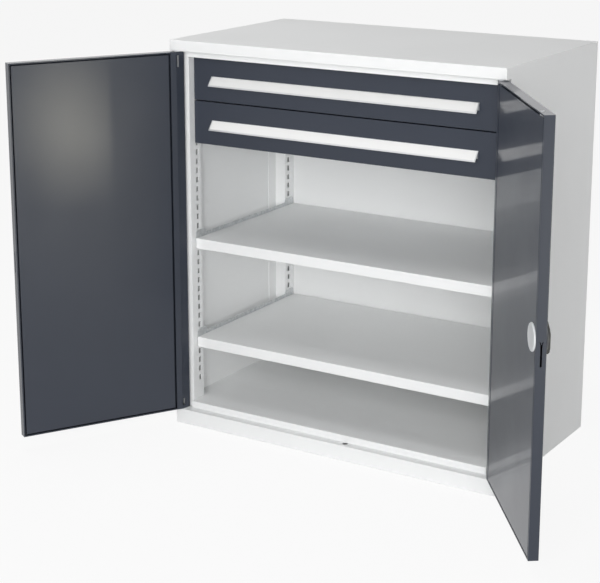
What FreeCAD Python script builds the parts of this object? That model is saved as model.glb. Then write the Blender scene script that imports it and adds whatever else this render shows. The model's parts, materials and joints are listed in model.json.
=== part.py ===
import FreeCAD, Part
import os
import re
import Sketcher

# Heavy-duty side cabinet in folded steel sheet, in millimetres and degrees.
# X runs to the right, Y from the front to the back, Z up.
# The origin is the middle of the underside, and the doors stand open.

driving = {
    "cabinet_width": 910,
    "cabinet_depth": 525,
    "cabinet_height": 1000,
    "panel_sheet": 1.5,
    "bend_radius": 2,
    "edge_radius": 1,
    # plinth, floor and top
    "plinth_height": 38,
    "plinth_return": 22,
    "floor_lip_height": 17,
    "top_edge_height": 27,
    "stop_lip_height": 16,
    "rear_flange": 15,
    # slotted corner posts
    "post_width": 33.5,
    "post_depth": 46,
    "post_flange": 36,
    "slot_pitch": 24,
    "slot_height": 14,
    "slot_width": 9,
    "slot_setback": 25,
    "first_slot_height": 111,
    "slot_top_margin": 45,
    # doors on pivots
    "door_thickness": 23,
    "door_sheet": 1.2,
    "door_side_gap": 1,
    "door_meeting_gap": 3,
    "door_end_gap": 2,
    "door_back_gap": 1.5,
    "pivot_inset": 16,
    "swing_clearance": 1.6,
    "chamfer_run": 24.4,
    "chamfer_rise": 8.5,
    "hinge_lip": 15,
    "edge_rim": 3,
    "liner_groove": 3.6,
    "hinge_groove": 5.4,
    "pin_diameter": 8,
    "pin_reach": 9,
    "pin_chamfer": 1.5,
    "pin_fit": 0.05,
    "bush_sleeve": 12,
    "bush_collar": 20,
    "bush_float": 0.3,
    "window_width": 8,
    "window_margin": 9,
    "top_window_height": 30,
    "bottom_window_height": 18,
    "left_door_angle": 120,
    "right_door_angle": 127,
    # turn lock
    "handle_height": 515,
    "handle_backset": 30,
    "spindle_square": 7,
    "spindle_bore": 11,
    "spindle_grip": 2.5,
    "rosette_diameter": 64,
    "rosette_thickness": 3,
    "rosette_taper": 1.5,
    "lock_plate_height": 90,
    "knob_disc": 54,
    "knob_length": 70,
    "knob_width": 22,
    "knob_rise": 8,
    "knob_foot": 2.5,
    "knob_taper": 1,
    "knob_nose": 5,
    "knob_curl": 1.2,
    "knob_bevel": 5,
    "knob_swell": 13,
    "knob_waist": 8,
    "knob_crown": 19,
    "knob_dip": 2,
    "knob_slope": 6.5,
    "knob_corner": 4,
    "plug_diameter": 14,
    "plug_depth": 3.5,
    "key_slot_length": 8,
    "key_slot_width": 2,
    "cap_diameter": 60,
    "cap_thickness": 4,
    "cap_taper": 2,
    "crank_radius": 14,
    "crank_pin": 6,
    "crank_arm_width": 14,
    "crank_rest_turn": 45,
    "crank_play": 0.7,
    "hub_thickness": 3,
    "layer_gap": 0.5,
    "hook_reach": 55,
    "hook_width": 13,
    "hook_thickness": 3,
    "hook_eye": 19,
    "hook_notch": 4.5,
    "hook_nose": 8,
    "hook_bevel": 2.5,
    "hook_mouth": 8,
    "hook_offset": -1.6,
    "hook_rest_turn": 32,
    "hook_slot_side": 0.6,
    "hook_slot_fork": 9,
    "hook_slot_flare": 6.5,
    "rod_backset": 43,
    "rod_diameter": 6.4,
    "rod_plate": 3,
    "fork_wall": 4.5,
    "rod_hole": 14,
    "rod_sink": 1,
    "guide_wall": 1.2,
    "guide_length": 14,
    "moving_fit": 0.1,
    # drawers
    "drawer_front_height": 108,
    "drawer_gap": 2.5,
    "drawer_side_gap": 1.5,
    "drawer_front_return": 12,
    "drawer_sheet": 1.2,
    "drawer_bend": 1.5,
    "tray_height": 82,
    "tray_lift": 6,
    "tray_rim": 8,
    "grip_inset": 53.4,
    "grip_projection": 16,
    "grip_clearance": 11.5,
    "grip_drop": 21,
    "grip_below_top": 45.5,
    "grip_sheet": 2,
    "grip_leg": 18,
    "grip_nose": 2.5,
    # telescopic runners
    "runner_height": 35,
    "runner_width": 12.7,
    "runner_sheet": 1.5,
    "runner_play": 0.4,
    "runner_flange": 8.5,
    "runner_front_gap": 2,
    "runner_rear_gap": 26,
    "runner_drop": 9,
    # shelves
    "upper_shelf_slot": 16,
    "lower_shelf_slot": 5,
    "shelf_seat_drop": 7,
    "shelf_edge_height": 27,
    "shelf_return": 14,
    "shelf_back_height": 20,
    "shelf_sheet": 1.25,
    "shelf_setback": 50,
    "shelf_rear_gap": 6,
    "shelf_side_gap": 0.5,
    "rail_sheet": 2,
    "rail_leg": 16,
    "rail_rise": 9,
    "rail_gap": 0.3,
    "tab_length": 41,
    "tab_height": 20,
    "tab_corner": 5,
    "hook_tab_height": 9,
    "hook_tab_grip": 3,
    "hook_tab_play": 1,
}

# Sizes that follow from the driving ones
derived = {
    "front": "-cabinet_depth / 2",
    "rear": "cabinet_depth / 2",
    "half_width": "cabinet_width / 2",
    "side_inner": "half_width - panel_sheet",
    "inner_rear": "rear - 2 * panel_sheet",
    "top_under": "cabinet_height - top_edge_height",
    "ledge_back": "front + door_thickness + door_back_gap",
    "floor_level": "plinth_height + floor_lip_height",
    "stop_bottom": "top_under - stop_lip_height",
    "post_face": "half_width - post_width",
    "half_door": "door_thickness / 2",
    "hinge_reach": "pivot_inset - door_side_gap",
    "pivot_x": "half_width - pivot_inset",
    "pivot_y": "front + half_door",
    "post_front": "pivot_y + sqrt(hinge_reach ^ 2 + half_door ^ 2) + swing_clearance",
    "door_bottom": "plinth_height + door_end_gap",
    "door_top": "top_under - door_end_gap",
    "door_height": "door_top - door_bottom",
    "door_reach": "pivot_x - door_meeting_gap / 2",
    "chamfer_slant": "sqrt(chamfer_run ^ 2 + chamfer_rise ^ 2)",
    "lip_end": "chamfer_run + hinge_lip - hinge_reach",
    "bush_height": "door_end_gap - bush_float",
    "handle_x": "handle_backset - door_reach",
    "rod_x": "rod_backset - door_reach",
    "rod_side": "rod_backset - handle_backset",
    "hook_back": "hook_offset + hook_thickness",
    "plate_front": "hook_back + layer_gap",
    "plate_back": "plate_front + rod_plate",
    "hub_front": "plate_back + layer_gap",
    "hub_back": "hub_front + hub_thickness",
    "rod_y": "plate_front + rod_diameter / 2 + moving_fit",
    "crank_step": "crank_radius * cos(crank_rest_turn)",
    "crank_reach": "crank_radius + crank_arm_width / 2",
    "spindle_reach": "spindle_square * sqrt(0.5)",
    "crank_slot": "crank_pin / 2 + crank_play",
    "rosette_front": "-half_door - rosette_thickness",
    "knob_back": "rosette_front - layer_gap",
    "knob_front": "knob_back - knob_rise",
    "guide_bore": "rod_diameter + 2 * moving_fit",
    "guide_sleeve": "guide_bore + 2 * guide_wall",
    "drawer_face": "ledge_back + grip_projection + grip_clearance",
    "drawer_half": "post_face - drawer_side_gap",
    "tray_half": "post_face - runner_width",
    "runner_start": "drawer_face + drawer_front_return + runner_front_gap",
    "runner_end": "inner_rear - runner_rear_gap",
    "runner_length": "runner_end - runner_start",
    "shelf_front": "front + shelf_setback",
    "shelf_back": "inner_rear - shelf_rear_gap",
    "shelf_half": "post_face - rail_sheet - shelf_side_gap",
    "rail_start": "shelf_front + shelf_sheet + rail_gap",
    "rail_end": "shelf_back - shelf_sheet - rail_gap",
}

doc = FreeCAD.newDocument("side_cabinet")
sizes = doc.addObject("Spreadsheet::Sheet", "sizes")
for row, (alias, number) in enumerate(driving.items(), 1):
    sizes.set("A%d" % row, alias)
    sizes.set("B%d" % row, str(number))
    sizes.setAlias("B%d" % row, alias)
doc.recompute()

subparts = []


def formula(text):
    """Writes a size rule in terms of the sheet's cells."""
    def cell(match):
        word = match.group(0)
        if word in driving:
            return "sizes." + word
        if word in derived:
            return "(" + formula(derived[word]) + ")"
        return word
    return re.sub(r"[a-z][a-z_0-9]*", cell, text)


def value(text):
    """Works a size rule out as a number."""
    return float(sizes.evalExpression(formula(text)))


def signed(side, text):
    """Gives a size rule on the left (-1) or the right (1) of the middle."""
    return text if side > 0 else "-(" + text + ")"


def new_body(name, keep=True):
    body = doc.addObject("PartDesign::Body", name)
    body.Label = name
    if keep:
        subparts.append(body)
    return body


def sketch(body, plane, lift="0", at=("0", "0"), turn="0"):
    """Opens a sketch parallel to one of the body's origin planes.

    A pad from it grows along +Z, +X or -Y, and a pocket cuts the other way.
    """
    sheet = body.newObject("Sketcher::SketchObject", body.Name + "_sketch")
    base = [feature for feature in body.Origin.OriginFeatures if feature.Role == plane + "_Plane"]
    sheet.AttachmentSupport = (base[0], "")
    sheet.MapMode = "FlatFace"
    height = "-(" + lift + ")" if plane == "XZ" else lift
    sheet.setExpression("AttachmentOffset.Base.x", formula(at[0]))
    sheet.setExpression("AttachmentOffset.Base.y", formula(at[1]))
    sheet.setExpression("AttachmentOffset.Base.z", formula(height))
    if turn != "0":
        sheet.AttachmentOffset = FreeCAD.Placement(
            FreeCAD.Vector(), FreeCAD.Rotation(FreeCAD.Vector(0, 0, 1), value(turn)))
        sheet.setExpression("AttachmentOffset.Rotation.Angle", formula(turn))
    return sheet


def fix(sheet, kind, item, spot, rule):
    constraint = Sketcher.Constraint(kind, -1, 1, item, spot, value(rule))
    sheet.setExpression("Constraints[%d]" % sheet.addConstraint(constraint), formula(rule))


def polygon(sheet, corners):
    """Draws a closed outline whose corners are pairs of size rules."""
    first = sheet.GeometryCount
    count = len(corners)
    spots = [FreeCAD.Vector(value(across), value(along), 0) for across, along in corners]
    for i in range(count):
        sheet.addGeometry(Part.LineSegment(spots[i], spots[(i + 1) % count]))
    for i in range(count):
        after = first + (i + 1) % count
        sheet.addConstraint(Sketcher.Constraint("Coincident", first + i, 2, after, 1))
    for i, (across, along) in enumerate(corners):
        fix(sheet, "DistanceX", first + i, 1, across)
        fix(sheet, "DistanceY", first + i, 1, along)
    return sheet


def rectangle(sheet, left, right, low, high):
    return polygon(sheet, [(left, low), (right, low), (right, high), (left, high)])


def circle(sheet, across, along, diameter):
    centre = FreeCAD.Vector(value(across), value(along), 0)
    item = sheet.addGeometry(Part.Circle(centre, FreeCAD.Vector(0, 0, 1), value(diameter) / 2))
    fix(sheet, "DistanceX", item, 3, across)
    fix(sheet, "DistanceY", item, 3, along)
    constraint = sheet.addConstraint(Sketcher.Constraint("Diameter", item, value(diameter)))
    sheet.setExpression("Constraints[%d]" % constraint, formula(diameter))
    return sheet


def pad(body, sheet, length):
    step = body.newObject("PartDesign::Pad", body.Name + "_pad")
    step.Profile = sheet
    step.setExpression("Length", formula(length))
    return step


def pocket(body, sheet, depth):
    step = body.newObject("PartDesign::Pocket", body.Name + "_pocket")
    step.Profile = sheet
    step.setExpression("Length", formula(depth))
    return step


def turned(body, sheet):
    """Revolves a half section about the sketch's upright axis."""
    step = body.newObject("PartDesign::Revolution", body.Name + "_turned")
    step.Profile = sheet
    step.ReferenceAxis = (sheet, ["V_Axis"])
    step.Angle = 360
    return step


def column(body, step, pitch, count):
    """Repeats a cut up the Z axis."""
    axis = [feature for feature in body.Origin.OriginFeatures if feature.Role == "Z_Axis"]
    pattern = body.newObject("PartDesign::LinearPattern", body.Name + "_column")
    pattern.Originals = [step]
    pattern.Direction = (axis[0], [""])
    pattern.setExpression("Occurrences", formula(count))
    pattern.setExpression("Length", formula("(" + count + " - 1) * " + pitch))
    body.Tip = pattern


def soften(body, radius, *places):
    """Rounds the edges whose ends both lie at one of the given places."""
    doc.recompute()
    base = body.Tip
    chosen = []
    for place in places:
        wanted = [(axis, value(rule)) for axis, rule in place.items()]
        for i, edge in enumerate(base.Shape.Edges, 1):
            ends = [vertex.Point for vertex in edge.Vertexes]
            if all(abs(getattr(end, axis) - where) < 0.001 for end in ends for axis, where in wanted):
                chosen.append("Edge%d" % i)
    step = body.newObject("PartDesign::Fillet", body.Name + "_bends")
    step.Base = (base, sorted(set(chosen)))
    step.setExpression("Radius", formula(radius))


def folded(path, sheet):
    """Turns a path of square bends into the outline of a sheet that lies on the path's left."""
    spots = [(value(across), value(along)) for across, along in path]
    moves = []
    for (x1, y1), (x2, y2) in zip(spots, spots[1:]):
        if abs(x2 - x1) > abs(y2 - y1):
            moves.append(("", "+" if x2 > x1 else "-"))
        else:
            moves.append(("-" if y2 > y1 else "+", ""))
    inner = []
    for i, (across, along) in enumerate(path):
        near = moves[max(i - 1, 0)], moves[min(i, len(moves) - 1)]
        shift_x = near[0][0] or near[1][0]
        shift_y = near[0][1] or near[1][1]
        inner.append((across + (" %s %s" % (shift_x, sheet) if shift_x else ""),
                      along + (" %s %s" % (shift_y, sheet) if shift_y else "")))
    return path + inner[::-1]


def mirrored(side, corners):
    """Puts an outline drawn for the left side on the given side."""
    return [(across if side < 0 else "-(" + across + ")", along) for across, along in corners]


def hang(body, side):
    """Hangs a piece that is drawn about the pivot of a closed door on the open door."""
    angle = "left_door_angle" if side < 0 else "right_door_angle"
    turn = FreeCAD.Rotation(FreeCAD.Vector(0, 0, side), value(angle))
    body.Placement = FreeCAD.Placement(FreeCAD.Vector(), turn)
    body.setExpression("Placement.Base.x", formula(signed(side, "pivot_x")))
    body.setExpression("Placement.Base.y", formula("pivot_y"))
    body.setExpression("Placement.Rotation.Angle", formula(angle))


def pierce_front_rail(body, level):
    """Makes the pivot holes and the rod hole in the ledge or in the return under the top."""
    sheet = sketch(body, "XY", level + " + panel_sheet")
    circle(sheet, "pivot_x", "pivot_y", "bush_sleeve")
    circle(sheet, "-pivot_x", "pivot_y", "bush_sleeve")
    circle(sheet, "pivot_x + rod_x", "pivot_y + rod_y", "rod_hole")
    pocket(body, sheet, "3 * panel_sheet")


def base_frame():
    """Plinth ring with a return along the ground and a ledge under the doors."""
    body = new_body("base_frame")
    sheet = sketch(body, "XY")
    pad(body, rectangle(sheet, "-side_inner", "side_inner", "front", "inner_rear"),
        "plinth_height - panel_sheet")
    sheet = sketch(body, "XY", "plinth_height - panel_sheet")
    rectangle(sheet, "panel_sheet - side_inner", "side_inner - panel_sheet",
              "front + panel_sheet", "inner_rear - panel_sheet")
    pocket(body, sheet, "plinth_height - 2 * panel_sheet")
    sheet = sketch(body, "XY", "panel_sheet")
    rectangle(sheet, "plinth_return - side_inner", "side_inner - plinth_return",
              "front + plinth_return", "inner_rear - plinth_return")
    pocket(body, sheet, "2 * panel_sheet")
    sheet = sketch(body, "XY", "plinth_height - panel_sheet")
    rectangle(sheet, "-side_inner", "side_inner", "front", "post_front + panel_sheet")
    pad(body, sheet, "panel_sheet")
    pierce_front_rail(body, "plinth_height")
    soften(body, "bend_radius", {"y": "front", "z": "plinth_height"})


def floor_panel():
    """Floor with its front folded down to the ledge, cut out round the front posts."""
    body = new_body("floor_panel")
    path = [("ledge_back + panel_sheet", "plinth_height"),
            ("ledge_back + panel_sheet", "floor_level - panel_sheet"),
            ("inner_rear", "floor_level - panel_sheet")]
    sheet = polygon(sketch(body, "YZ", "-side_inner"), folded(path, "panel_sheet"))
    pad(body, sheet, "2 * side_inner")
    for side in (-1, 1):
        sheet = sketch(body, "XY", "floor_level + panel_sheet")
        rectangle(sheet, signed(side, "post_face"), signed(side, "half_width"),
                  "front", "post_front + post_depth")
        pocket(body, sheet, "2 * floor_lip_height")
    soften(body, "bend_radius", {"y": "ledge_back", "z": "floor_level"})


def top_panel():
    """Top with a box edge along the front."""
    body = new_body("top_panel")
    path = [("rear", "cabinet_height"), ("front", "cabinet_height"), ("front", "top_under"),
            ("post_front + panel_sheet", "top_under")]
    sheet = polygon(sketch(body, "YZ", "-side_inner"), folded(path, "panel_sheet"))
    pad(body, sheet, "2 * side_inner")
    pierce_front_rail(body, "top_under + panel_sheet")
    soften(body, "bend_radius", {"y": "front", "z": "cabinet_height"}, {"y": "front", "z": "top_under"})


def door_stop():
    """Angle behind the top edge, on which the doors close."""
    body = new_body("door_stop")
    path = [("ledge_back + panel_sheet", "stop_bottom"),
            ("ledge_back + panel_sheet", "top_under - panel_sheet"),
            ("post_front + panel_sheet", "top_under - panel_sheet")]
    sheet = polygon(sketch(body, "YZ", "-post_face"), folded(path, "panel_sheet"))
    pad(body, sheet, "2 * post_face")


def side_panel(name, side):
    """Side sheet, set back beside the doors and folded round the back."""
    body = new_body(name)
    sheet = sketch(body, "YZ", "side_inner" if side > 0 else "-half_width")
    polygon(sheet, [("front", "0"), ("rear", "0"), ("rear", "cabinet_height"),
                    ("front", "cabinet_height"), ("front", "top_under"), ("ledge_back", "top_under"),
                    ("ledge_back", "plinth_height"), ("front", "plinth_height")])
    pad(body, sheet, "panel_sheet")
    sheet = sketch(body, "XY")
    rectangle(sheet, signed(side, "side_inner"), signed(side, "side_inner - rear_flange"),
              "rear - panel_sheet", "rear")
    pad(body, sheet, "cabinet_height - panel_sheet")
    outer = signed(side, "half_width")
    soften(body, "edge_radius", {"x": outer, "y": "rear"}, {"x": outer, "z": "cabinet_height"},
           {"x": outer, "y": "front"})


def back_panel():
    """Rear sheet between the folds of the sides."""
    back = doc.addObject("Part::Box", "back_panel")
    back.setExpression("Length", formula("2 * side_inner"))
    back.setExpression("Width", formula("panel_sheet"))
    back.setExpression("Height", formula("cabinet_height - panel_sheet"))
    back.setExpression("Placement.Base.x", formula("-side_inner"))
    back.setExpression("Placement.Base.y", formula("inner_rear"))
    subparts.append(back)


def post(name, side, at_front):
    """Hat-shaped corner post with a column of slots in its inner face."""
    body = new_body(name)
    start = "post_front + (%s)" if at_front else "inner_rear - (%s)"
    path = [("-side_inner", "post_depth + post_flange"), ("-side_inner", "post_depth - panel_sheet"),
            ("-post_face - panel_sheet", "post_depth - panel_sheet"),
            ("-post_face - panel_sheet", "panel_sheet"), ("-side_inner", "panel_sheet")]
    corners = [(across, start % along) for across, along in folded(path, "panel_sheet")]
    foot = "plinth_height" if at_front else "floor_level"
    head = "top_under" if at_front else "(cabinet_height - panel_sheet)"
    sheet = polygon(sketch(body, "XY", foot), mirrored(side, corners))
    pad(body, sheet, head + " - " + foot)
    if at_front:
        sheet = sketch(body, "XY", "floor_level")
        rectangle(sheet, signed(side, "post_face"), signed(side, "half_width"),
                  "post_front + post_depth", "post_front + post_depth + 2 * post_flange")
        pocket(body, sheet, "floor_level - plinth_height")
    inner = "post_face + 2 * panel_sheet" if side > 0 else "panel_sheet - post_face"
    sheet = sketch(body, "YZ", inner)
    rectangle(sheet, start % "slot_setback", start % "slot_setback + slot_width",
              "first_slot_height - slot_height / 2", "first_slot_height + slot_height / 2")
    slot = pocket(body, sheet, "3 * panel_sheet")
    count = "(floor((top_under - slot_top_margin - first_slot_height) / slot_pitch) + 1)"
    column(body, slot, "slot_pitch", count)
    soften(body, "edge_radius", {"x": signed(side, "post_face"), "y": start % "0"},
           {"x": signed(side, "post_face"), "y": start % "post_depth"})


def pivot_bushes():
    """Flanged bushes for the door pivots, two in the ledge and two under the top."""
    bushes = []
    for side in (-1, 1):
        for level, inward in (("plinth_height", "+"), ("top_under", "-")):
            body = new_body("pivot_bush", False)
            bore = "pin_diameter / 2 + pin_fit"
            collar = level + " " + inward + " bush_height"
            outward = "-" if inward == "+" else "+"
            end = level + " " + outward + " 2 * panel_sheet"
            sheet = sketch(body, "XZ")
            polygon(sheet, [(bore, collar), ("bush_collar / 2", collar), ("bush_collar / 2", level),
                            ("bush_sleeve / 2", level), ("bush_sleeve / 2", end), (bore, end)])
            turned(body, sheet)
            body.setExpression("Placement.Base.x", formula(signed(side, "pivot_x")))
            body.setExpression("Placement.Base.y", formula("pivot_y"))
            bushes.append(body)
    group = doc.addObject("Part::Compound", "pivot_bushes")
    group.Links = bushes
    subparts.append(group)


def shelf(name, level):
    """Shelf with a deep folded front edge."""
    body = new_body(name)
    low = level + " - shelf_edge_height"
    path = [("shelf_back", level + " - shelf_back_height"), ("shelf_back", level), ("shelf_front", level),
            ("shelf_front", low), ("shelf_front + shelf_return", low)]
    sheet = polygon(sketch(body, "YZ", "-shelf_half"), folded(path, "shelf_sheet"))
    pad(body, sheet, "2 * shelf_half")
    soften(body, "bend_radius", {"y": "shelf_front", "z": level}, {"y": "shelf_front", "z": low})


def shelf_rail(name, side, level, slot):
    """Angle under a shelf's end, with upstands that hook into the posts."""
    body = new_body(name)
    low = level + " - shelf_sheet - rail_sheet"
    path = [("-post_face", level + " + rail_rise"), ("-post_face", low), ("rail_leg - post_face", low)]
    sheet = polygon(sketch(body, "XZ", "rail_end"), mirrored(side, folded(path, "rail_sheet")))
    pad(body, sheet, "rail_end - rail_start")
    face = "post_face - rail_sheet" if side > 0 else "-post_face"
    for near, far in (("rail_start", "rail_start + tab_length"), ("rail_end - tab_length", "rail_end")):
        high = level + " + tab_height"
        sheet = polygon(sketch(body, "YZ", face), [
            (near, level), (far, level), (far, high + " - tab_corner"), (far + " - tab_corner", high),
            (near + " + tab_corner", high), (near, high + " - tab_corner")])
        pad(body, sheet, "rail_sheet")
    tip = "post_face" if side > 0 else "-post_face - panel_sheet - hook_tab_grip"
    seat = slot + " - slot_height / 2"
    for edge in ("post_front + slot_setback", "inner_rear - slot_setback - slot_width"):
        sheet = sketch(body, "YZ", tip)
        rectangle(sheet, edge + " + hook_tab_play", edge + " + slot_width - hook_tab_play",
                  seat, seat + " + hook_tab_height")
        pad(body, sheet, "panel_sheet + hook_tab_grip")


def runner_member(name, side, level, depth, half_height, flange):
    """Channel of a runner that opens towards the drawer."""
    body = new_body(name)
    web = depth + " - post_face"
    low = level + " - (" + half_height + ")"
    high = level + " + (" + half_height + ")"
    path = [(web + " + " + flange, high), (web, high), (web, low), (web + " + " + flange, low)]
    sheet = polygon(sketch(body, "XZ", "runner_end"), mirrored(side, folded(path, "runner_sheet")))
    pad(body, sheet, "runner_length")


def drawer_member(name, side, level, half_height):
    """Channel of a runner that is fixed to the drawer and opens towards the post."""
    body = new_body(name)
    web = "runner_width - post_face"
    tip = "2 * runner_sheet + 3 * runner_play - post_face"
    low = level + " - (" + half_height + ")"
    high = level + " + (" + half_height + ")"
    path = [(tip, low), (web, low), (web, high), (tip, high)]
    sheet = polygon(sketch(body, "XZ", "runner_end"), mirrored(side, folded(path, "runner_sheet")))
    pad(body, sheet, "runner_length")


def runners(drawer, low):
    """Pair of full-extension runners, three nested channels on each side of a drawer."""
    level = low + " + drawer_front_height / 2 - runner_drop"
    half = "runner_height / 2"
    step = "runner_sheet + runner_play"
    for side, hand in ((-1, "left"), (1, "right")):
        runner_member("%s_%s_cabinet_runner" % (drawer, hand), side, level, "0", half, "runner_flange")
        runner_member("%s_%s_middle_runner" % (drawer, hand), side, level, step,
                      half + " - (" + step + ")", "runner_flange")
        drawer_member("%s_%s_drawer_runner" % (drawer, hand), side, level,
                      half + " - 2 * (" + step + ")")


def drawer_front(name, low):
    """Drawer front, a shallow pan open to the back."""
    body = new_body(name)
    high = low + " + drawer_front_height"
    sheet = sketch(body, "XZ", "drawer_face + drawer_front_return")
    pad(body, rectangle(sheet, "-drawer_half", "drawer_half", low, high), "drawer_front_return")
    sheet = sketch(body, "XZ", "drawer_face + drawer_sheet")
    rectangle(sheet, "drawer_sheet - drawer_half", "drawer_half - drawer_sheet",
              low + " + drawer_sheet", high + " - drawer_sheet")
    pocket(body, sheet, "drawer_front_return")
    soften(body, "drawer_bend", {"y": "drawer_face"})


def drawer_tray(name, low):
    """Drawer box, open at the top, with its side walls folded in to a rim."""
    body = new_body(name)
    bottom = low + " + tray_lift"
    top = bottom + " + tray_height"
    fronts = "drawer_face + drawer_sheet"
    sheet = rectangle(sketch(body, "XY", bottom), "-tray_half", "tray_half", fronts, "runner_end")
    pad(body, sheet, "tray_height")
    sheet = sketch(body, "XY", top + " - drawer_sheet")
    rectangle(sheet, "drawer_sheet - tray_half", "tray_half - drawer_sheet",
              fronts + " + drawer_sheet", "runner_end - drawer_sheet")
    pocket(body, sheet, "tray_height - 2 * drawer_sheet")
    sheet = sketch(body, "XY", top)
    rectangle(sheet, "tray_rim - tray_half", "tray_half - tray_rim",
              fronts + " + drawer_sheet", "runner_end - drawer_sheet")
    pocket(body, sheet, "2 * drawer_sheet")


def grip_strip(name, low):
    """Sloping grip strip along the drawer front, open to the fingers from below."""
    body = new_body(name)
    top = low + " + drawer_front_height - grip_below_top"
    nose = "drawer_face - grip_projection"
    slope = "grip_drop * grip_sheet / grip_projection"
    thick = "grip_sheet * sqrt(1 + (grip_drop / grip_projection) ^ 2)"
    sheet = polygon(sketch(body, "YZ", "grip_inset - drawer_half"), [
        ("drawer_face", top),
        (nose, top + " - grip_drop"),
        (nose, top + " - grip_drop - grip_nose"),
        (nose + " + grip_sheet", top + " - grip_drop - grip_nose"),
        (nose + " + grip_sheet", top + " - grip_drop + " + slope + " - " + thick),
        ("drawer_face - grip_sheet", top + " - " + slope + " - " + thick),
        ("drawer_face - grip_sheet", top + " - grip_leg"),
        ("drawer_face", top + " - grip_leg")])
    pad(body, sheet, "2 * (drawer_half - grip_inset)")
    soften(body, "grip_sheet / 2", {"y": nose, "z": top + " - grip_drop"})


def door_skin(name, side):
    """Outer door sheet, folded round the pivots at one end and to a rim at the other three."""
    body = new_body(name)
    bevel = "chamfer_run - hinge_reach"
    inside = "half_door - door_sheet"
    rim = "door_reach - edge_rim"
    section = [
        ("lip_end", "half_door"), (bevel, "half_door"), ("-hinge_reach", "half_door - chamfer_rise"),
        ("-hinge_reach", "-half_door"), ("door_reach", "-half_door"), ("door_reach", "half_door"),
        (rim, "half_door"), (rim, inside), ("door_reach - door_sheet", inside),
        ("door_reach - door_sheet", "door_sheet - half_door"),
        ("door_sheet - hinge_reach", "door_sheet - half_door"),
        ("door_sheet - hinge_reach",
         "half_door - chamfer_rise - door_sheet * (chamfer_slant - chamfer_rise) / chamfer_run"),
        (bevel + " + door_sheet * (chamfer_slant - chamfer_run) / chamfer_rise", inside),
        ("lip_end", inside)]
    pad(body, polygon(sketch(body, "XY", "door_bottom"), mirrored(side, section)), "door_height")
    plate = [("-hinge_reach", "-half_door"), ("door_reach", "-half_door"), ("door_reach", "half_door"),
             (bevel, "half_door"), ("-hinge_reach", "half_door - chamfer_rise")]
    for level in ("door_bottom", "door_top - door_sheet"):
        pad(body, polygon(sketch(body, "XY", level), mirrored(side, plate)), "door_sheet")
    for level in ("door_bottom + door_sheet", "door_top - edge_rim"):
        sheet = sketch(body, "XY", level)
        rectangle(sheet, signed(-side, "lip_end"), signed(-side, rim), inside, "half_door")
        pad(body, sheet, "edge_rim - door_sheet")
    return body


def pierce_skin(body, side):
    """Windows over the pivot pins, pin holes and the slot for the hook of the lock."""
    for low, height in (("door_bottom + window_margin", "bottom_window_height"),
                        ("door_top - window_margin - top_window_height", "top_window_height")):
        sheet = sketch(body, "XZ", "half_door - chamfer_rise")
        rectangle(sheet, "0", signed(-side, "window_width"), low, low + " + " + height)
        pocket(body, sheet, "2 * chamfer_rise")
    for level in ("door_bottom", "door_top - door_sheet"):
        sheet = circle(sketch(body, "XY", level + " + 2 * door_sheet"), "0", "0",
                       "pin_diameter + 2 * pin_fit")
        pocket(body, sheet, "3 * door_sheet")
    edge = "door_reach + door_sheet" if side < 0 else "2 * door_sheet - door_reach"
    middle = "hook_offset + hook_thickness / 2"
    half = "hook_thickness / 2 + hook_slot_side"
    low = "handle_height - hook_reach + hook_slot_side"
    fork = "handle_height - hook_slot_fork"
    high = fork + " + hook_slot_flare"
    spread = "2 * (" + half + ")"
    sheet = sketch(body, "YZ", edge)
    polygon(sheet, [
        (middle + " - (" + half + ")", low), (middle + " + " + half, low), (middle + " + " + half, fork),
        (middle + " + " + spread, high), (middle + " + " + half, high), (middle, fork),
        (middle + " - (" + half + ")", high), (middle + " - " + spread, high),
        (middle + " - (" + half + ")", fork)])
    pocket(body, sheet, "3 * door_sheet")
    ends = [{"x": signed(-side, "door_reach"), "y": "-half_door"},
            {"x": signed(side, "hinge_reach"), "y": "-half_door"}]
    soften(body, "bend_radius", *ends)


def door_liner(name, side):
    """Inner door sheet, welded to the skin along its hinge side."""
    body = new_body(name)
    inside = "half_door - door_sheet"
    start = "lip_end + hinge_groove + door_sheet"
    path = [(start, "door_sheet - half_door"), (start, inside),
            ("door_reach - edge_rim - liner_groove", inside)]
    low = "door_bottom + edge_rim + liner_groove"
    sheet = polygon(sketch(body, "XY", low), mirrored(side, folded(path, "door_sheet")))
    pad(body, sheet, "door_height - 2 * (edge_rim + liner_groove)")
    hang(body, side)


def pivot_pins(name, side):
    """Pins at the foot and the head of a door."""
    pins = []
    for end, tip, inward in (
            ("door_bottom + window_margin + bottom_window_height", "plinth_height - pin_reach", "+"),
            ("door_top - window_margin - top_window_height", "top_under + pin_reach", "-")):
        body = new_body("pivot_pin", False)
        radius = "pin_diameter / 2"
        sheet = polygon(sketch(body, "XZ"), [
            ("0", end), (radius, end), (radius, tip + inward + "pin_chamfer"),
            (radius + " - pin_chamfer", tip), ("0", tip)])
        turned(body, sheet)
        pins.append(body)
    group = doc.addObject("Part::Compound", name)
    group.Links = pins
    hang(group, side)
    subparts.append(group)


def left_door():
    skin = door_skin("left_door_skin", -1)
    pierce_skin(skin, -1)
    hang(skin, -1)
    door_liner("left_door_liner", -1)
    pivot_pins("left_pivot_pins", -1)


def right_door():
    """Right door, pierced for the spindle and the rods."""
    skin = door_skin("right_door_skin", 1)
    sheet = sketch(skin, "XZ", "-half_door - door_sheet")
    pocket(skin, circle(sheet, "handle_x", "handle_height", "spindle_bore"), "3 * door_sheet")
    for level in ("door_bottom", "door_top - door_sheet"):
        sheet = sketch(skin, "XY", level + " + 2 * door_sheet")
        pocket(skin, circle(sheet, "rod_x", "rod_y", "guide_sleeve"), "3 * door_sheet")
    pierce_skin(skin, 1)
    hang(skin, 1)
    door_liner("right_door_liner", 1)
    pivot_pins("right_pivot_pins", 1)


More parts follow.
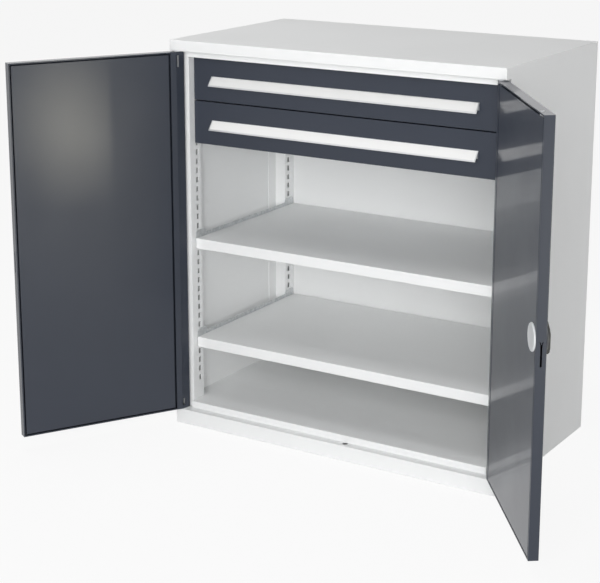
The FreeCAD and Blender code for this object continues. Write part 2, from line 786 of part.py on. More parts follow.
def lock_sketch(body, lift, turn="0"):
    """Sketch square to the spindle, with its origin on the spindle's axis."""
    return sketch(body, "XZ", lift, ("handle_x", "handle_height"), turn)


def lock_half_section(body):
    """Sketch through the spindle's axis, for turned pieces."""
    return sketch(body, "XY", "handle_height", ("handle_x", "0"))


def lock_plate():
    """Plate behind the skin that carries the spindle."""
    body = new_body("lock_plate")
    edge = "door_sheet + edge_rim - handle_backset"
    half = "lock_plate_height / 2"
    sheet = lock_sketch(body, "2 * door_sheet - half_door")
    pad(body, rectangle(sheet, edge, "rosette_diameter / 2", "-" + half, half), "door_sheet")
    sheet = lock_sketch(body, "-half_door")
    pocket(body, circle(sheet, "0", "0", "spindle_bore"), "3 * door_sheet")
    hang(body, 1)


def rosette():
    """Round base of the handle on the outside of the door."""
    body = new_body("handle_rosette")
    bore = "spindle_bore / 2"
    rim = "rosette_diameter / 2"
    sheet = polygon(lock_half_section(body), [
        (bore, "-half_door"), (rim, "-half_door"), (rim + " - rosette_taper", "rosette_front"),
        (bore, "rosette_front")])
    turned(body, sheet)
    hang(body, 1)


def inner_cap():
    """Round cap over the lock on the inside of the door."""
    body = new_body("lock_inner_cap")
    rim = "cap_diameter / 2"
    face = "half_door + cap_thickness"
    sheet = polygon(lock_half_section(body), [
        ("0", "half_door"), (rim, "half_door"), (rim + " - cap_taper", face), ("0", face)])
    turned(body, sheet)
    hang(body, 1)


def rod_guides():
    """Sleeves that guide the rods through the ends of the door."""
    guides = []
    for level, inward in (("door_bottom", "+"), ("door_top", "-")):
        body = new_body("rod_guide", False)
        outward = "-" if inward == "+" else "+"
        brim = level + " " + outward + " door_end_gap / 2"
        end = level + " " + inward + " guide_length"
        sheet = sketch(body, "XZ", "rod_y", ("rod_x", "0"))
        turned(body, rectangle(sheet, "guide_bore / 2", "guide_sleeve / 2", brim, end))
        guides.append(body)
    group = doc.addObject("Part::Compound", "rod_guides")
    group.Links = guides
    hang(group, 1)
    subparts.append(group)


def square_hole(body, lift, depth):
    """Cuts the hole in which the spindle drives a piece."""
    half = "spindle_square / 2 + pin_fit"
    sheet = rectangle(lock_sketch(body, lift), "-(" + half + ")", half, "-(" + half + ")", half)
    pocket(body, sheet, depth)


def lock_hub():
    """Square spindle with a crank arm that carries two pins, one for each rod."""
    body = new_body("lock_hub")
    half = "spindle_square / 2"
    sheet = rectangle(lock_sketch(body, "hub_back"), "-" + half, half, "-" + half, half)
    pad(body, sheet, "hub_back - knob_back + spindle_grip")
    half = "crank_arm_width / 2"
    sheet = lock_sketch(body, "hub_back", "crank_rest_turn")
    pad(body, rectangle(sheet, "-crank_reach", "crank_reach", "-" + half, half), "hub_thickness")
    sheet = lock_sketch(body, "hub_front", "crank_rest_turn")
    circle(sheet, "crank_radius", "0", "crank_pin")
    circle(sheet, "-crank_radius", "0", "crank_pin")
    pad(body, sheet, "rod_plate + layer_gap")
    hang(body, 1)


def hook_latch():
    """Hook on the spindle that swings out of the door's edge into the other door."""
    body = new_body("hook_latch")
    half = "hook_width / 2"
    neck = half + " - hook_notch"
    bevel = "hook_nose + hook_bevel - hook_reach"
    sheet = polygon(lock_sketch(body, "hook_back", "hook_rest_turn"), [
        ("-" + half, "0"), ("-" + half, half + " - hook_reach"), ("-(" + neck + ")", "-hook_reach"),
        (half, "-hook_reach"), (half, "hook_nose - hook_reach"), (neck, bevel),
        (neck, bevel + " + hook_mouth"), (half, bevel + " + hook_mouth + hook_bevel"), (half, "0")])
    pad(body, sheet, "hook_thickness")
    pad(body, circle(lock_sketch(body, "hook_back"), "0", "0", "hook_eye"), "hook_thickness")
    square_hole(body, "hook_offset - layer_gap", "hook_thickness + 2 * layer_gap")
    hang(body, 1)


def turn_handle():
    """Low turn handle: a round foot with an upright grip that is bowed and thins out towards its top."""
    body = new_body("turn_handle")
    half = "knob_length / 2"
    foot = "knob_back - knob_foot"
    rim = "knob_disc / 2"
    sheet = polygon(lock_half_section(body), [
        ("0", "knob_back"), (rim, "knob_back"), (rim + " - knob_taper", foot), ("0", foot)])
    turned(body, sheet)
    left = "handle_x - knob_width / 2"
    right = "handle_x + knob_width / 2"
    sheet = sketch(body, "YZ", left, ("0", "handle_height"))
    polygon(sheet, [
        ("knob_back", "-" + half), ("knob_front + knob_nose", "-" + half),
        ("knob_front + knob_curl", "knob_bevel - " + half), ("knob_front", "knob_swell - " + half),
        ("knob_front", "knob_waist"), ("knob_front + knob_dip", "knob_crown"),
        ("knob_front + knob_slope", half), ("knob_back", half)])
    pad(body, sheet, "knob_width")
    low = "handle_height - " + half
    high = "handle_height + " + half
    soften(body, "knob_corner", {"x": left, "z": low}, {"x": right, "z": low}, {"x": left, "z": high},
           {"x": right, "z": high})
    sheet = lock_sketch(body, "knob_front - layer_gap")
    pocket(body, circle(sheet, "0", "0", "plug_diameter + 2 * moving_fit"), "plug_depth + 2 * layer_gap")
    square_hole(body, "knob_back - spindle_grip - layer_gap", "spindle_grip + 2 * layer_gap")
    hang(body, 1)


def lock_plug():
    """Key plug in the middle of the handle."""
    body = new_body("lock_plug")
    sheet = lock_sketch(body, "knob_front + plug_depth")
    pad(body, circle(sheet, "0", "0", "plug_diameter"), "plug_depth")
    sheet = lock_sketch(body, "knob_front - layer_gap")
    half = "key_slot_length / 2"
    rectangle(sheet, "-key_slot_width / 2", "key_slot_width / 2", "-" + half, half)
    pocket(body, sheet, "plug_depth / 2")
    hang(body, 1)


def lock_rod(name, up):
    """Rod with a forked end plate round its crank pin."""
    body = new_body(name)
    hand = "-" if up else ""
    mouth = hand + "(spindle_reach + crank_play)"
    inner = hand + "(spindle_reach + 2 * crank_play)"
    closed = hand + "(crank_radius + crank_slot)"
    outer = hand + "(crank_radius + crank_slot + rod_plate)"
    bend = "(crank_reach + 2 * rod_diameter)"
    if up:
        pin = "-crank_step"
        fork = pin + " - crank_slot - fork_wall"
        arm = "rod_side + rod_diameter"
        corners = [(outer, fork), (inner, fork), (inner, "crank_reach"), (arm, "crank_reach"), (arm, bend),
                   (outer, bend)]
        low = "handle_height + crank_reach + rod_diameter"
        high = "door_top - rod_sink"
    else:
        pin = "crank_step"
        fork = pin + " + crank_slot + fork_wall"
        corners = [(inner, fork), (outer, fork), (outer, "-" + bend), (inner, "-" + bend)]
        low = "door_bottom + rod_sink"
        high = "handle_height - crank_reach - rod_diameter"
    pad(body, polygon(lock_sketch(body, "plate_back"), corners), "rod_plate")
    sheet = lock_sketch(body, "plate_front - layer_gap")
    rectangle(sheet, mouth, closed, pin + " - crank_slot", pin + " + crank_slot")
    pocket(body, sheet, "rod_plate + 2 * layer_gap")
    sheet = circle(sketch(body, "XY", low), "rod_x", "rod_y", "rod_diameter")
    pad(body, sheet, high + " - (" + low + ")")
    hang(body, 1)


def checked(items):
    """Stops if any feature failed, any cut missed, or any piece is not one valid shape."""
    for item in doc.Objects:
        if "Invalid" in item.State or "Error" in item.State:
            raise RuntimeError(item.Label + " failed")
        if item.TypeId == "PartDesign::Pocket":
            if item.Shape.Volume > item.BaseFeature.Shape.Volume - 0.01:
                raise RuntimeError(item.Label + " cuts nothing")
    for item in items:
        if item.Shape.isNull() or not item.Shape.isValid():
            raise RuntimeError(item.Label + " has no valid shape")


base_frame()
floor_panel()
side_panel("left_side_panel", -1)
side_panel("right_side_panel", 1)
back_panel()
top_panel()
door_stop()
for depth_name, at_front in (("front", True), ("rear", False)):
    post(depth_name + "_left_post", -1, at_front)
    post(depth_name + "_right_post", 1, at_front)
pivot_bushes()

for shelf_name in ("upper", "lower"):
    slot_level = "first_slot_height + %s_shelf_slot * slot_pitch" % shelf_name
    shelf_level = slot_level + " - shelf_seat_drop"
    shelf(shelf_name + "_shelf", shelf_level)
    shelf_rail(shelf_name + "_left_shelf_rail", -1, shelf_level, slot_level)
    shelf_rail(shelf_name + "_right_shelf_rail", 1, shelf_level, slot_level)

for number, drawer in enumerate(("upper", "lower"), 1):
    drawer_low = "stop_bottom - %d * (drawer_gap + drawer_front_height)" % number
    drawer_front(drawer + "_drawer_front", drawer_low)
    drawer_tray(drawer + "_drawer_tray", drawer_low)
    grip_strip(drawer + "_grip_strip", drawer_low)
    runners(drawer, drawer_low)

left_door()
right_door()
lock_plate()
rosette()
inner_cap()
rod_guides()
lock_hub()
hook_latch()
turn_handle()
lock_plug()
lock_rod("top_rod", True)
lock_rod("bottom_rod", False)

doc.recompute()
checked(subparts)
os.makedirs("parts", exist_ok=True)
for subpart in subparts:
    subpart.Shape.exportStep("parts/%s.step" % subpart.Label)
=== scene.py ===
import json
import math

import bmesh
import bpy
from mathutils import Matrix, Vector


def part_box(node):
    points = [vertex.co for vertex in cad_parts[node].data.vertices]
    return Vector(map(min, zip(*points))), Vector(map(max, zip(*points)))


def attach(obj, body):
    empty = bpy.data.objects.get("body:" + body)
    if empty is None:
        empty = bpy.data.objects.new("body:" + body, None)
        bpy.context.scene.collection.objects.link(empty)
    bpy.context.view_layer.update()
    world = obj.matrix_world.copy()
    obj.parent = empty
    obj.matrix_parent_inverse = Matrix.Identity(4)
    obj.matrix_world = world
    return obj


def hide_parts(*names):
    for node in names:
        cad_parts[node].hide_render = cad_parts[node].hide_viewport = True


# Steel side cabinet with its doors open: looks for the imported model. The scene is in metres, and the
# sizes of pieces and patterns are in mm.

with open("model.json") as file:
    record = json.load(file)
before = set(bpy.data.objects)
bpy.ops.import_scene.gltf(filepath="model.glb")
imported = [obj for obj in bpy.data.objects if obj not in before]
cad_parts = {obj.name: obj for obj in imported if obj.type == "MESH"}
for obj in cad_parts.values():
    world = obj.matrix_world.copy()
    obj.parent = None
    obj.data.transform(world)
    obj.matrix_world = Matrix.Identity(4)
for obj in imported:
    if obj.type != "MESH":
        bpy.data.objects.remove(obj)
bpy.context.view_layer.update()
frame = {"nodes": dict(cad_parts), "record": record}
MM = 0.001


# Materials

def linear(code):
    """Turns an sRGB hex colour into the linear values that a shader socket takes."""
    parts = [int(code[i:i + 2], 16) / 255 for i in (0, 2, 4)]
    return [part / 12.92 if part <= 0.04045 else ((part + 0.055) / 1.055) ** 2.4
            for part in parts] + [1.0]


def pattern_scale(width):
    """Gives the scale of a pattern whose marks are so many mm wide."""
    return 1 / (width * MM)


def bare(owner):
    """Gives a new material, world or lamp an empty node tree."""
    owner.use_nodes = True
    owner.node_tree.nodes.clear()
    return owner


def add(owner, kind, values=None, links=None, **settings):
    """Adds a node with its settings, its socket values and the sockets that feed it."""
    tree = owner.node_tree
    node = tree.nodes.new("ShaderNode" + kind)
    for name, setting in settings.items():
        setattr(node, name, setting)
    for name, number in (values or {}).items():
        node.inputs[name].default_value = number
    for name, socket in (links or {}).items():
        tree.links.new(socket, node.inputs[name])
    return node


def powder_coat(name, colour, shade, roughness, peel, gloss, flow=0.0):
    """Baked polyester powder on steel: one even colour under a skin that softens reflections.

    The skin's orange-peel waves are about 3 mm wide, and are drawn 7 mm wide so that they show in the
    render. A gloss coat flows out smoother, so it has a sharp reflection on top of the hazy one.
    """
    material = bare(bpy.data.materials.new(name))
    place = add(material, "TexCoord").outputs["Object"]
    cloud = add(material, "TexNoise", {"Scale": pattern_scale(180), "Detail": 3}, {"Vector": place})
    waves = add(material, "TexNoise", {"Scale": pattern_scale(7), "Detail": 2}, {"Vector": place})
    tone = add(material, "Mix", {"A": linear(colour), "B": linear(shade)},
               {"Factor": cloud.outputs["Fac"]}, data_type="RGBA")
    rough = add(material, "MapRange", {"To Min": roughness * 0.85, "To Max": roughness * 1.15},
                {"Value": cloud.outputs["Fac"]})
    bump = add(material, "Bump", {"Strength": peel, "Distance": 0.4 * MM},
               {"Height": waves.outputs["Fac"]})
    shader = add(material, "BsdfPrincipled",
                 {"IOR": 1.5, "Specular IOR Level": gloss, "Coat Weight": flow, "Coat IOR": 1.12,
                  "Coat Roughness": 0.06},
                 {"Base Color": tone.outputs["Result"], "Roughness": rough.outputs["Result"],
                  "Normal": bump.outputs["Normal"]})
    add(material, "OutputMaterial", links={"Surface": shader.outputs["BSDF"]})
    return material


def lined_metal(name, dull, bright, roughness, stretch):
    """Zinc on rolled steel, or anodised aluminium drawn through a die: fine lines along the metal's
    length, which stretch the highlights.

    The lines are about 0.2 mm apart, and are drawn 1.5 mm apart so that they show in the render.
    """
    material = bare(bpy.data.materials.new(name))
    place = add(material, "TexCoord").outputs["Object"]
    along = add(material, "Mapping", {"Scale": stretch}, {"Vector": place})
    lines = add(material, "TexNoise", {"Scale": pattern_scale(1.5), "Detail": 4},
                {"Vector": along.outputs["Vector"]})
    tone = add(material, "Mix", {"A": linear(dull), "B": linear(bright)},
               {"Factor": lines.outputs["Fac"]}, data_type="RGBA")
    rough = add(material, "MapRange", {"To Min": roughness - 0.1, "To Max": roughness + 0.1},
                {"Value": lines.outputs["Fac"]})
    bump = add(material, "Bump", {"Strength": 0.12, "Distance": 0.1 * MM},
               {"Height": lines.outputs["Fac"]})
    shader = add(material, "BsdfPrincipled", {"Metallic": 1.0},
                 {"Base Color": tone.outputs["Result"], "Roughness": rough.outputs["Result"],
                  "Normal": bump.outputs["Normal"]})
    add(material, "OutputMaterial", links={"Surface": shader.outputs["BSDF"]})
    return material


def hot_dip_galvanised(name):
    """Hot-dip zinc on sheet: flat crystal spangles, about 6 mm across, each with its own grey."""
    spangle = pattern_scale(6)
    material = bare(bpy.data.materials.new(name))
    place = add(material, "TexCoord").outputs["Object"]
    bend = add(material, "TexNoise", {"Scale": spangle, "Detail": 2}, {"Vector": place})
    moved = add(material, "Mix", {"Factor": 0.004}, {"A": place, "B": bend.outputs["Color"]},
                data_type="VECTOR")
    crystals = add(material, "TexVoronoi", {"Scale": spangle}, {"Vector": moved.outputs["Result"]})
    grey = add(material, "SeparateColor", links={"Color": crystals.outputs["Color"]})
    tone = add(material, "Mix", {"A": linear("d3d6d8"), "B": linear("e9ebec")},
               {"Factor": grey.outputs["Red"]}, data_type="RGBA")
    rough = add(material, "MapRange", {"To Min": 0.42, "To Max": 0.54},
                {"Value": grey.outputs["Green"]})
    shader = add(material, "BsdfPrincipled", {"Metallic": 1.0},
                 {"Base Color": tone.outputs["Result"], "Roughness": rough.outputs["Result"]})
    add(material, "OutputMaterial", links={"Surface": shader.outputs["BSDF"]})
    return material


def grained_skin(name, colour, shade, roughness, grain):
    """Moulded plastic, or a textured coat on die-cast zinc: a fine grain that breaks up highlights.

    The grain is about 0.3 mm wide, and is drawn 1.2 mm wide so that it shows in the render.
    """
    material = bare(bpy.data.materials.new(name))
    place = add(material, "TexCoord").outputs["Object"]
    pits = add(material, "TexNoise", {"Scale": pattern_scale(1.2), "Detail": 2}, {"Vector": place})
    cloud = add(material, "TexNoise", {"Scale": pattern_scale(15), "Detail": 2}, {"Vector": place})
    tone = add(material, "Mix", {"A": linear(colour), "B": linear(shade)},
               {"Factor": cloud.outputs["Fac"]}, data_type="RGBA")
    rough = add(material, "MapRange", {"To Min": roughness - 0.06, "To Max": roughness + 0.06},
                {"Value": pits.outputs["Fac"]})
    bump = add(material, "Bump", {"Strength": grain, "Distance": 0.15 * MM},
               {"Height": pits.outputs["Fac"]})
    shader = add(material, "BsdfPrincipled", {"IOR": 1.53},
                 {"Base Color": tone.outputs["Result"], "Roughness": rough.outputs["Result"],
                  "Normal": bump.outputs["Normal"]})
    add(material, "OutputMaterial", links={"Surface": shader.outputs["BSDF"]})
    return material


def chrome_plate(name):
    """Polished chrome on brass: a mirror that finger marks dull in patches about 8 mm wide."""
    material = bare(bpy.data.materials.new(name))
    place = add(material, "TexCoord").outputs["Object"]
    marks = add(material, "TexNoise", {"Scale": pattern_scale(8), "Detail": 4}, {"Vector": place})
    rough = add(material, "MapRange", {"To Min": 0.05, "To Max": 0.22},
                {"Value": marks.outputs["Fac"]})
    shader = add(material, "BsdfPrincipled", {"Base Color": linear("dcdddf"), "Metallic": 1.0},
                 {"Roughness": rough.outputs["Result"]})
    add(material, "OutputMaterial", links={"Surface": shader.outputs["BSDF"]})
    return material


def card(name):
    """White card in the grip: matt paper with faint fibres, drawn 2 mm long so that they show."""
    material = bare(bpy.data.materials.new(name))
    place = add(material, "TexCoord").outputs["Object"]
    fibres = add(material, "TexNoise", {"Scale": pattern_scale(2), "Detail": 3}, {"Vector": place})
    tone = add(material, "Mix", {"A": linear("f8f8f7"), "B": linear("fdfdfc")},
               {"Factor": fibres.outputs["Fac"]}, data_type="RGBA")
    bump = add(material, "Bump", {"Strength": 0.08, "Distance": 0.1 * MM},
               {"Height": fibres.outputs["Fac"]})
    shader = add(material, "BsdfPrincipled", {"Roughness": 0.55, "IOR": 1.45},
                 {"Base Color": tone.outputs["Result"], "Normal": bump.outputs["Normal"]})
    add(material, "OutputMaterial", links={"Surface": shader.outputs["BSDF"]})
    return material


# Which way a metal's lines run on the cabinet
ALONG_WIDTH = (0.02, 1.0, 1.0)
ALONG_DEPTH = (1.0, 0.02, 1.0)
ALONG_HEIGHT = (1.0, 1.0, 0.03)

finishes = {
    "light_grey_paint": powder_coat("light_grey_powder_coat", "f3f4f4", "f0f1f1",
                                    roughness=0.4, peel=0.06, gloss=0.4),
    "anthracite_paint": powder_coat("anthracite_gloss_powder_coat", "383d48", "353a44",
                                    roughness=0.4, peel=0.03, gloss=0.3, flow=1.0),
    "tray_paint": powder_coat("grey_satin_powder_coat", "bfc2c4", "b9bcbf",
                              roughness=0.45, peel=0.08, gloss=0.4),
    "galvanised_rail": hot_dip_galvanised("galvanised_sheet"),
    "zinc_steel": lined_metal("zinc_plated_runner_steel", "a3a7ab", "c9cdd0",
                              roughness=0.34, stretch=ALONG_DEPTH),
    "lock_steel": lined_metal("zinc_plated_lock_steel", "9da0a4", "c4c7ca",
                              roughness=0.3, stretch=ALONG_HEIGHT),
    "grip_aluminium": lined_metal("satin_anodised_aluminium", "dfe1e2", "f1f2f3",
                                  roughness=0.36, stretch=ALONG_WIDTH),
    "handle_coat": grained_skin("black_textured_coat_on_zinc", "1d1e20", "242528",
                                roughness=0.5, grain=0.25),
    "rosette_plastic": grained_skin("dark_grey_moulded_polyamide", "4b4e52", "53565a",
                                    roughness=0.46, grain=0.2),
    "plug_chrome": chrome_plate("polished_chrome"),
    "pale_plastic": grained_skin("pale_grey_moulded_plastic", "d3d5d7", "dbdddf",
                                 roughness=0.4, grain=0.12),
}
white_card = card("white_paper_card")

for entry in frame["record"]["subparts"]:
    for slot in frame["nodes"][entry["node"]].material_slots:
        slot.material = finishes[entry["material_slot"]]


# Pieces

# The right door as it stands at rest, and the lock's spindle on it, from the pivot of the shut door
PIVOT_X, PIVOT_Y = 439, -251
DOOR_ANGLE = 127
RIGHT_DOOR = (Matrix.Translation((PIVOT_X * MM, PIVOT_Y * MM, 0))
              @ Matrix.Rotation(math.radians(DOOR_ANGLE), 4, "Z"))
SPINDLE = Vector((-407.5, 0, 515)) * MM

# Half sections of the lock's round pieces: radius, and depth from the middle of the door
CAP_SECTION = [(0, 11.5), (30, 11.5), (30, 13.4), (28.6, 15.3), (26.2, 15.5), (25, 14.6),
               (12, 14.9), (0, 15)]
ROSETTE_SECTION = [(5.6, -11.5), (32, -11.5), (32, -12.6), (31, -13.6), (29.4, -14.3),
                   (28.6, -13.8), (27.8, -14.5), (5.6, -14.5), (5.6, -11.5)]
COLLAR_SECTION = [(7.15, -22.4), (9.4, -22.4), (9.4, -23.3), (8.8, -23.6), (7.6, -23.6),
                  (7.15, -23.3), (7.15, -22.4)]

# Half section of a blind rivet's hollow head: radius, and height over the sheet
RIVET_SECTION = [(0, 0.25), (1.2, 0.25), (1.4, 1.15), (2.6, 1.05), (3.6, 0.6), (4, 0), (0, 0)]

# Rivets through the posts: their face, the depth of each row and their heights
POST_FACE_X = 452
POST_ROWS = (("front", -166.5), ("rear", 195.5))
POST_LEVELS = (131, 395, 659, 923)

# Rivets in the back's flanges: their line, their face, the lowest, the pitch and the number of them
BACK_LINE_X, BACK_FACE_Y = 446, 262.5
BACK_LOWEST, BACK_PITCH, BACK_COUNT = 60, 110, 9

# Fall of a grip's sloping face, and its card: how much shorter and narrower than the face it is, its
# thickness, and how far its middle lies over the face
GRIP_FALL = 21
CARD_SHORTER, CARD_NARROWER = 6, 3
CARD_THICKNESS, CARD_LIFT = 0.4, 0.25

# Points no further apart than this are made one
SAME_POINT = 0.002


def new_object(mesh, name, material):
    """Makes an object of a bmesh, with its place in its mesh."""
    data = bpy.data.meshes.new(name)
    mesh.to_mesh(data)
    mesh.free()
    data.materials.append(material)
    thing = bpy.data.objects.new(name, data)
    bpy.context.scene.collection.objects.link(thing)
    return thing


def place_piece(mesh, name, body, finish, material=None):
    """Closes a bmesh and makes it a piece that rides on a body."""
    bmesh.ops.remove_doubles(mesh, verts=mesh.verts, dist=SAME_POINT * MM)
    bmesh.ops.recalc_face_normals(mesh, faces=mesh.faces)
    piece = new_object(mesh, name, material or finishes[finish])
    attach(piece, body)
    return piece


def smooth(piece, angle):
    """Shades a piece smooth, but for the edges that turn by more than an angle."""
    for polygon in piece.data.polygons:
        polygon.use_smooth = True
    piece.data.set_sharp_from_angle(angle=math.radians(angle))


def soften(piece, width, segments, angle):
    """Rounds the edges that turn by more than an angle."""
    bevel = piece.modifiers.new("rounded_edges", "BEVEL")
    bevel.width = width * MM
    bevel.segments = segments
    bevel.limit_method = "ANGLE"
    bevel.angle_limit = math.radians(angle)
    smooth(piece, angle)


def spin_round(mesh, points, centre, axis, steps):
    """Spins a line of points a full turn about an axis."""
    row = [mesh.verts.new(point) for point in points]
    edges = [mesh.edges.new(pair) for pair in zip(row, row[1:])]
    bmesh.ops.spin(mesh, geom=row + edges, cent=centre, axis=axis, angle=math.tau, steps=steps,
                   use_merge=True)


def turned(section, steps=96):
    """Spins a half section about the lock's spindle, on the right door."""
    mesh = bmesh.new()
    points = [SPINDLE + Vector((radius, depth, 0)) * MM for radius, depth in section]
    spin_round(mesh, points, SPINDLE, (0, 1, 0), steps)
    bmesh.ops.transform(mesh, matrix=RIGHT_DOOR, verts=mesh.verts)
    return mesh


def inner_cap():
    """Moulded cap over the lock, with a shallow dish inside its rim."""
    piece = place_piece(turned(CAP_SECTION), "lock_cap_moulding", "right_door", "pale_plastic")
    soften(piece, width=0.6, segments=3, angle=20)
    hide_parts("lock_inner_cap")


def rosette():
    """Moulded base of the handle, with a groove round its rim."""
    piece = place_piece(turned(ROSETTE_SECTION), "rosette_moulding", "right_door",
                        "rosette_plastic")
    soften(piece, width=0.4, segments=3, angle=20)
    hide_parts("handle_rosette")


def plug_collar():
    """Chromed ring round the key plug, set in the handle's face."""
    piece = place_piece(turned(COLLAR_SECTION, steps=64), "plug_collar", "handle", "plug_chrome")
    soften(piece, width=0.15, segments=2, angle=20)


def rivets(name, spots, facing):
    """Blind rivets of the carcass, at spots in mm, whose heads face along an axis."""
    axis = Vector(facing)
    across = axis.orthogonal().normalized()
    mesh = bmesh.new()
    for spot in spots:
        centre = Vector(spot)
        points = [(centre + radius * across + height * axis) * MM for radius, height in RIVET_SECTION]
        spin_round(mesh, points, centre * MM, axis, steps=20)
    piece = place_piece(mesh, name, "carcass", "zinc_steel")
    smooth(piece, angle=30)


def grip_card(drawer):
    """White card laid in the sloping face of a grip strip."""
    low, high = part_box(drawer + "_grip_strip")
    fall = GRIP_FALL * MM
    run = high.y - low.y
    size = (high.x - low.x - CARD_SHORTER * MM, math.hypot(fall, run) - CARD_NARROWER * MM,
            CARD_THICKNESS * MM)
    slope = Matrix.Rotation(math.atan2(fall, run), 3, "X")
    middle = Vector(((low.x + high.x) / 2, (low.y + high.y) / 2, high.z - fall / 2))
    mesh = bmesh.new()
    bmesh.ops.create_cube(mesh, size=1)
    bmesh.ops.scale(mesh, vec=size, verts=mesh.verts)
    bmesh.ops.translate(mesh, vec=(0, 0, CARD_LIFT * MM), verts=mesh.verts)
    bmesh.ops.rotate(mesh, cent=(0, 0, 0), matrix=slope, verts=mesh.verts)
    bmesh.ops.translate(mesh, vec=middle, verts=mesh.verts)
    piece = place_piece(mesh, drawer + "_grip_card", drawer + "_drawer", "grip_aluminium", white_card)
    soften(piece, width=0.1, segments=2, angle=35)


inner_cap()
rosette()
plug_collar()
grip_card("upper")
grip_card("lower")
for side, name in ((-1, "left"), (1, "right")):
    for row, depth in POST_ROWS:
        spots = [(side * POST_FACE_X, depth, level) for level in POST_LEVELS]
        rivets("%s_%s_post_rivets" % (row, name), spots, (-side, 0, 0))
    spots = [(side * BACK_LINE_X, BACK_FACE_Y, BACK_LOWEST + BACK_PITCH * step)
             for step in range(BACK_COUNT)]
    rivets(name + "_back_rivets", spots, (0, 1, 0))


# Stage, light and camera

WHITE = (1, 1, 1, 1)
FLOOR_WHITE = linear("f2f2f2")

# The floor's side in metres, the share of its own white that shows, and both grounds' levels in mm
FLOOR_SIDE = 28
WHITE_SHARE = 0.9
FLOOR_LEVEL, PLINTH_GROUND_LEVEL = -0.5, -0.3


def ground(name, material, centre, width, depth):
    """Flat rectangle of the stage."""
    mesh = bmesh.new()
    bmesh.ops.create_grid(mesh, x_segments=1, y_segments=1, size=0.5)
    bmesh.ops.scale(mesh, vec=(width, depth, 1), verts=mesh.verts)
    bmesh.ops.translate(mesh, vec=centre, verts=mesh.verts)
    piece = new_object(mesh, name, material)


def in_sight(owner):
    """Gives a socket that is 1 to the camera, to reflections and through glass, or else 0."""
    sight = add(owner, "LightPath")
    glossy = add(owner, "Math", links={0: sight.outputs["Is Camera Ray"],
                                       1: sight.outputs["Is Glossy Ray"]}, operation="MAXIMUM")
    seen = add(owner, "Math", links={0: glossy.outputs["Value"],
                                     1: sight.outputs["Is Transmission Ray"]}, operation="MAXIMUM")
    return seen.outputs["Value"]


def pale_floor():
    """White ground that keeps a soft shadow, and is white to the camera and to reflections.

    Inside the plinth the ground lies in the dark, so there it has no white of its own.
    """
    material = bare(bpy.data.materials.new("white_studio_floor"))
    matt = add(material, "BsdfDiffuse", {"Color": FLOOR_WHITE})
    glow = add(material, "Emission", {"Strength": 1.0})
    share = add(material, "Math", {1: WHITE_SHARE}, {0: in_sight(material)}, operation="MULTIPLY")
    both = add(material, "MixShader", links={0: share.outputs["Value"], 1: matt.outputs["BSDF"],
                                             2: glow.outputs["Emission"]})
    add(material, "OutputMaterial", links={"Surface": both.outputs["Shader"]})
    ground("floor", material, (0, 0, FLOOR_LEVEL * MM), FLOOR_SIDE, FLOOR_SIDE)
    shaded = bare(bpy.data.materials.new("matt_ground"))
    matt = add(shaded, "BsdfDiffuse", {"Color": FLOOR_WHITE})
    add(shaded, "OutputMaterial", links={"Surface": matt.outputs["BSDF"]})
    low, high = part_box("base_frame")
    middle = (0, (low.y + high.y) / 2, PLINTH_GROUND_LEVEL * MM)
    ground("floor_in_plinth", shaded, middle, high.x - low.x, high.y - low.y)


def studio_world(level):
    """White room: even light of a given level, and white to the camera and to reflections."""
    world = bare(bpy.data.worlds.new("white_studio"))
    ambient = add(world, "Background", {"Color": WHITE, "Strength": level})
    white = add(world, "Background", {"Color": WHITE, "Strength": 1.0})
    both = add(world, "MixShader", links={0: in_sight(world), 1: ambient.outputs["Background"],
                                          2: white.outputs["Background"]})
    add(world, "OutputWorld", links={"Surface": both.outputs["Shader"]})
    bpy.context.scene.world = world


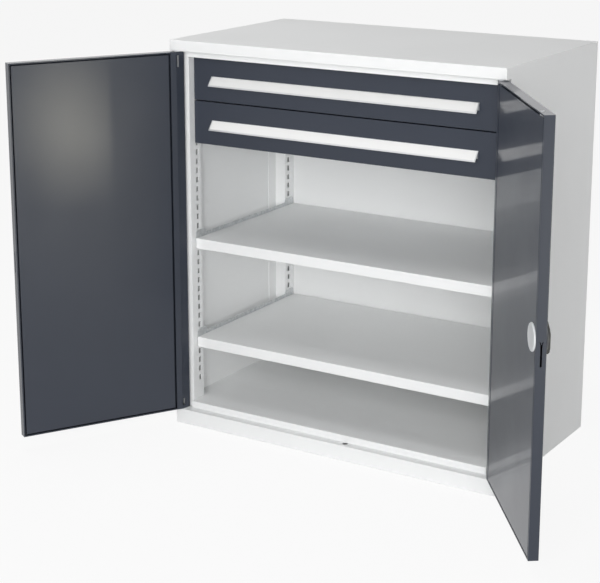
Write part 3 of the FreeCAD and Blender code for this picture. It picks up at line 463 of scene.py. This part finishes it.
def soft_box(name, location, target, width, height, power):
    """Rectangular studio lamp that faces a point, and leaves no glare of its own on the paint."""
    lamp = bpy.data.lights.new(name, "AREA")
    lamp.shape = "RECTANGLE"
    lamp.size = width
    lamp.size_y = height
    lamp.energy = power
    stand = bpy.data.objects.new(name, lamp)
    stand.location = location
    aim = Vector(target) - Vector(location)
    stand.rotation_euler = aim.to_track_quat("-Z", "Y").to_euler()
    stand.visible_camera = False
    stand.visible_glossy = False
    bpy.context.scene.collection.objects.link(stand)
    return stand


def sheen_card(name, location, target, width, height, power):
    """Warm white card beside the doors, which fades to its edges and is only seen in reflections."""
    stand = soft_box(name, location, target, width, height, power)
    stand.visible_diffuse = False
    stand.visible_glossy = True
    lamp = bare(stand.data)
    place = add(lamp, "NewGeometry").outputs["Parametric"]
    middle, edge = (0.5, 0.5, 0), 0.5
    reach = add(lamp, "VectorMath", {1: middle}, {0: place}, operation="DISTANCE")
    fade = add(lamp, "MapRange", {"From Max": edge, "To Min": 1, "To Max": 0},
               {"Value": reach.outputs["Value"]}, interpolation_type="SMOOTHSTEP")
    glow = add(lamp, "Emission", {"Color": linear("fff9e5")}, {"Strength": fade.outputs["Result"]})
    add(lamp, "OutputLight", links={"Surface": glow.outputs["Emission"]})


def camera():
    """Long lens from the front right and a little above, as in the photograph."""
    tilt_down, turn_left = 13.83, 32.0
    lens = bpy.data.cameras.new("camera")
    lens.sensor_width = 36
    lens.lens = 95.61
    lens.shift_y = -0.12
    lens.clip_end = 50
    viewer = bpy.data.objects.new("camera", lens)
    viewer.location = (1.895, -3.416, 1.508)
    viewer.rotation_euler = (math.radians(90 - tilt_down), 0, math.radians(turn_left))
    bpy.context.scene.collection.objects.link(viewer)
    bpy.context.scene.camera = viewer


pale_floor()
studio_world(level=0.2)
soft_box("key_box", (1.4, -5.9, 2.7), (0, -0.2, 0.5), width=3.0, height=2.4, power=149)
soft_box("fill_box", (3.2, -5.0, 1.3), (0, -0.2, 0.5), width=2.4, height=1.6, power=114)
soft_box("top_box", (-0.9, -0.7, 3.4), (-0.2, 0, 1), width=1.6, height=1.2, power=22)
soft_box("rear_box", (2.6, 4.8, 1.0), (0, 0.2, 0.5), width=2.4, height=1.6, power=42)
sheen_card("sheen_card", (2.0, -0.98, 0.34), (-0.55, -0.45, 0.66), width=0.6, height=0.84, power=52)
camera()
bpy.context.scene.view_settings.view_transform = "Standard"
